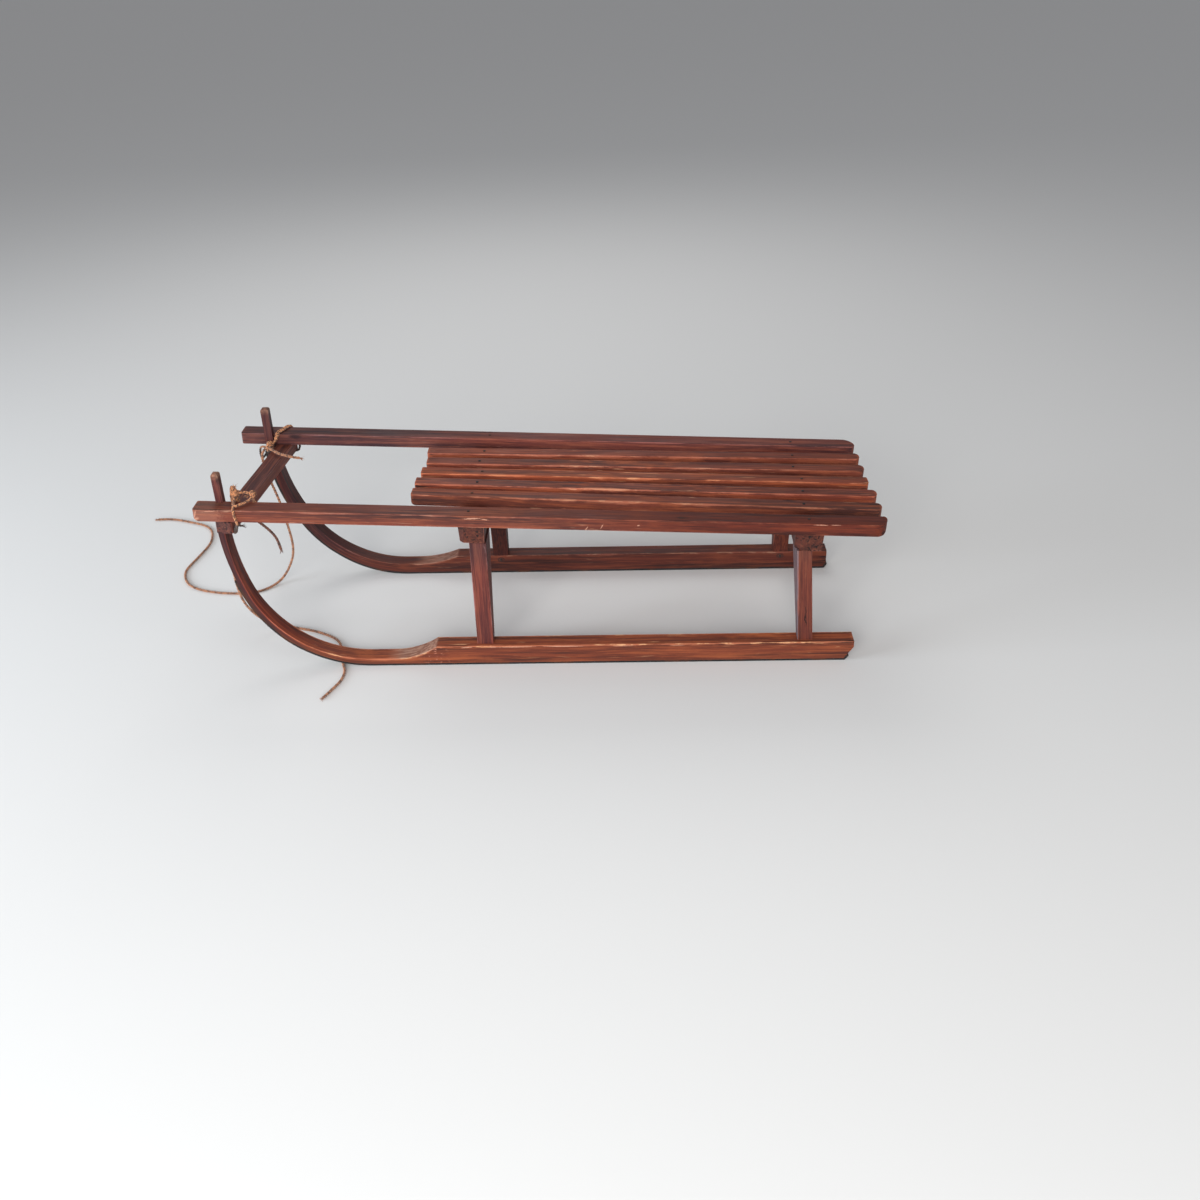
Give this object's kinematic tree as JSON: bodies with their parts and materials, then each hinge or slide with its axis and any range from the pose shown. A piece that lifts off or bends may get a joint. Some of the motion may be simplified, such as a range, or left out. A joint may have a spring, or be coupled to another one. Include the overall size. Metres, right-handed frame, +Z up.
{
  "type": "pulled wooden slatted sled",
  "caption": "Hand-pulled wooden sled with a slatted deck on two bent iron-shod runners, lashed at the front, with loose pull cords.",
  "frame": {"origin": "on the floor below the middle of the deck's length and width, without the loose cords", "axes": "+X towards the rear of the sled, +Y to its right-hand side, +Z up"},
  "size_m": [1.2782, 0.594, 0.318],
  "materials": {
    "stained_wood": "worn satin",
    "runner_wood": "worn satin",
    "iron": "matt",
    "cord": "matt"
  },
  "bodies": {
    "root": {"rail_left": "stained_wood", "rail_right": "stained_wood", "slat_1": "stained_wood", "slat_2": "stained_wood", "slat_3": "stained_wood", "slat_4": "stained_wood", "slat_5": "stained_wood", "bolster_front": "stained_wood", "bolster_rear": "stained_wood", "post_front_left": "stained_wood", "post_front_right": "stained_wood", "post_rear_left": "stained_wood", "post_rear_right": "stained_wood", "crossbar": "stained_wood", "runner_left": "runner_wood", "runner_right": "runner_wood", "sole_left": "iron", "sole_right": "iron", "lashing_left": "cord", "lashing_right": "cord", "cord_left": "cord", "cord_right": "cord", "tail_left": "cord", "tail_right": "cord"}
  },
  "joints": []
}
